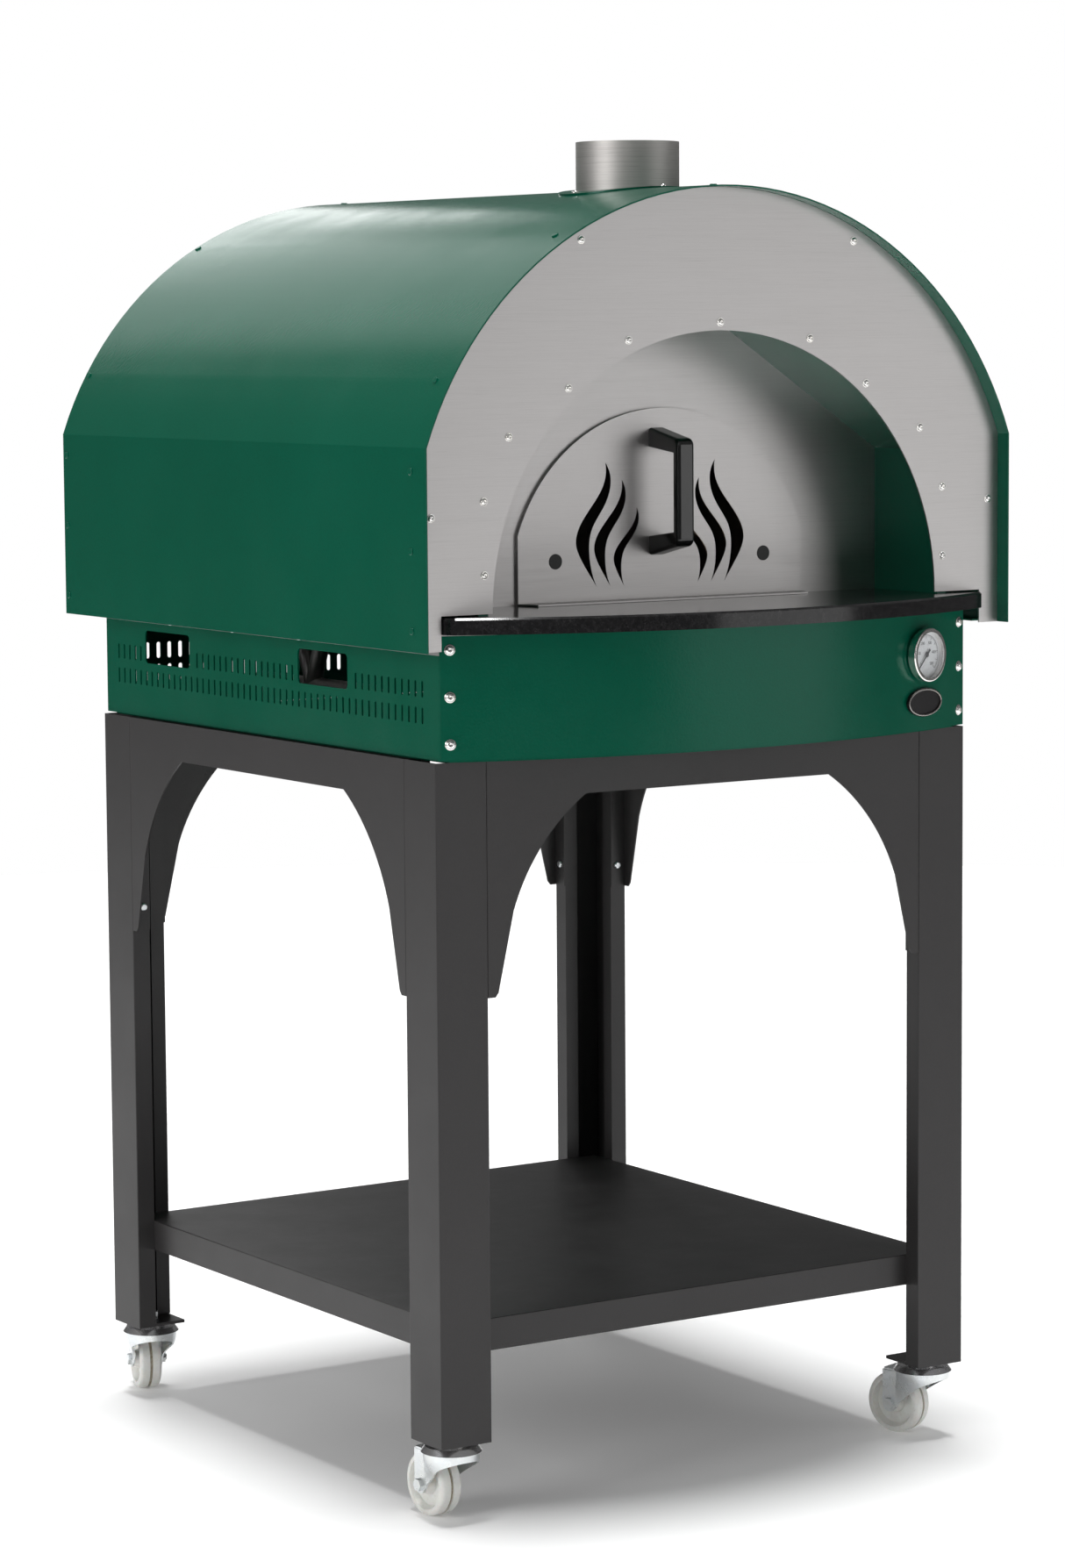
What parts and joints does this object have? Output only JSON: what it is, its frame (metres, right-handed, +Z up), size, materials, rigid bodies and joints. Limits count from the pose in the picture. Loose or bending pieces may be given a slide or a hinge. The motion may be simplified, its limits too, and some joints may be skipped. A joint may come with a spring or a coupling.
{
  "type": "pizza oven",
  "caption": "Domed outdoor pizza oven with a lift-out door, chimney and granite sill on an arched, open stand with a shelf and swivel castors.",
  "frame": {"origin": "on the floor, under the middle of the bounding box", "axes": "+Z up, -Y out of the oven's mouth, +X to the right of someone facing the oven"},
  "size_m": [0.8776, 1.0346, 1.68],
  "materials": {
    "stand_powder_coat": "satin anthracite powder coat",
    "green_powder_coat": "glossy bottle-green powder coat with a fine orange-peel",
    "collar_green": "glossy bottle-green powder coat",
    "brushed_stainless": "brushed",
    "steel_fasteners": "polished",
    "zinc_plate": "bright zinc plate",
    "castor_race_chrome": "bright zinc plate",
    "castor_nylon": "white nylon",
    "gauge_steel": "polished",
    "dial_white": "satin white",
    "gauge_lens": "clear",
    "needle_black": "satin",
    "badge_dark": "dark cast plate with a lighter raised rim",
    "black_granite": "polished black with fine grey speckle",
    "hearth_stone": "matte refractory",
    "fibre_blanket": "matte white ceramic fibre",
    "handle_black": "glossy black",
    "plug_black": "satin black"
  },
  "bodies": {
    "oven": {"leg_fl": "stand_powder_coat", "leg_fr": "stand_powder_coat", "leg_rl": "stand_powder_coat", "leg_rr": "stand_powder_coat", "foot_plates": "stand_powder_coat", "apron_front": "stand_powder_coat", "apron_rear": "stand_powder_coat", "apron_left": "stand_powder_coat", "apron_right": "stand_powder_coat", "shelf_tray": "stand_powder_coat", "apron_bolts": "zinc_plate", "shelf_bolts": "zinc_plate", "castor_nuts": "zinc_plate", "clip_bolts": "zinc_plate", "castor_heads": "castor_race_chrome", "box_left": "green_powder_coat", "box_right": "green_powder_coat", "box_rear": "green_powder_coat", "box_front": "green_powder_coat", "floor_pan": "green_powder_coat", "hood_shell": "green_powder_coat", "hood_rear": "green_powder_coat", "hood_rivets": "green_powder_coat", "porch_lining": "green_powder_coat", "box_bolts": "steel_fasteners", "face_screws": "steel_fasteners", "collar_screws": "steel_fasteners", "hearth_plate": "brushed_stainless", "hood_rails": "brushed_stainless", "face_panel": "brushed_stainless", "chamber_front": "brushed_stainless", "vault_lining": "brushed_stainless", "chamber_back": "brushed_stainless", "chimney_pipe": "brushed_stainless", "burner": "brushed_stainless", "roof_collar": "collar_green", "gauge_case": "gauge_steel", "gauge_bezel": "gauge_steel", "gauge_dial": "dial_white", "gauge_glass": "gauge_lens", "badge_plate": "badge_dark", "stone_sill": "black_granite", "hearth_tile": "hearth_stone", "vault_blanket": "fibre_blanket"},
    "castor_fl": {"castor_fork_fl": "zinc_plate", "castor_axle_fl": "zinc_plate"},
    "wheel_fl": {"castor_wheel_fl": "castor_nylon"},
    "castor_fr": {"castor_fork_fr": "zinc_plate", "castor_axle_fr": "zinc_plate"},
    "wheel_fr": {"castor_wheel_fr": "castor_nylon"},
    "castor_rl": {"castor_fork_rl": "zinc_plate", "castor_axle_rl": "zinc_plate"},
    "wheel_rl": {"castor_wheel_rl": "castor_nylon"},
    "castor_rr": {"castor_fork_rr": "zinc_plate", "castor_axle_rr": "zinc_plate"},
    "wheel_rr": {"castor_wheel_rr": "castor_nylon"},
    "needle": {"gauge_needle": "needle_black"},
    "door": {"door_leaf": "brushed_stainless", "door_handle": "handle_black", "door_plugs": "plug_black"}
  },
  "joints": [
    {"name": "castor_swivel_fl", "type": "hinge", "parent": "oven", "child": "castor_fl", "pos_m": [-0.364, -0.3394, 0.087], "axis": [0, 0, 1], "continuous": true},
    {"name": "wheel_spin_fl", "type": "hinge", "parent": "castor_fl", "child": "wheel_fl", "pos_m": [-0.36599, -0.30145, 0.04], "axis": [0.9986, 0.0523, 0], "continuous": true},
    {"name": "castor_swivel_fr", "type": "hinge", "parent": "oven", "child": "castor_fr", "pos_m": [0.364, -0.3394, 0.087], "axis": [0, 0, 1], "continuous": true},
    {"name": "wheel_spin_fr", "type": "hinge", "parent": "castor_fr", "child": "wheel_fr", "pos_m": [0.35289, -0.30306, 0.04], "axis": [0.9563, 0.2924, 0], "continuous": true},
    {"name": "castor_swivel_rl", "type": "hinge", "parent": "oven", "child": "castor_rl", "pos_m": [-0.364, 0.4386, 0.087], "axis": [0, 0, 1], "continuous": true},
    {"name": "wheel_spin_rl", "type": "hinge", "parent": "castor_rl", "child": "wheel_rl", "pos_m": [-0.35353, 0.47513, 0.04], "axis": [0.9613, -0.2756, 0], "continuous": true},
    {"name": "castor_swivel_rr", "type": "hinge", "parent": "oven", "child": "castor_rr", "pos_m": [0.364, 0.4386, 0.087], "axis": [0, 0, 1], "continuous": true},
    {"name": "wheel_spin_rr", "type": "hinge", "parent": "castor_rr", "child": "wheel_rr", "pos_m": [0.35871, 0.47623, 0.04], "axis": [0.9903, 0.1392, 0], "continuous": true},
    {"name": "thermometer_needle", "type": "hinge", "parent": "oven", "child": "needle", "pos_m": [0.30617, -0.41902, 1.034], "axis": [-0.2821, 0.9594, 0], "range_deg": [0, 270]},
    {"name": "door_lift_out", "type": "slide", "parent": "oven", "child": "door", "axis": [0, -1, 0], "range_m": [0, 0.3]}
  ]
}
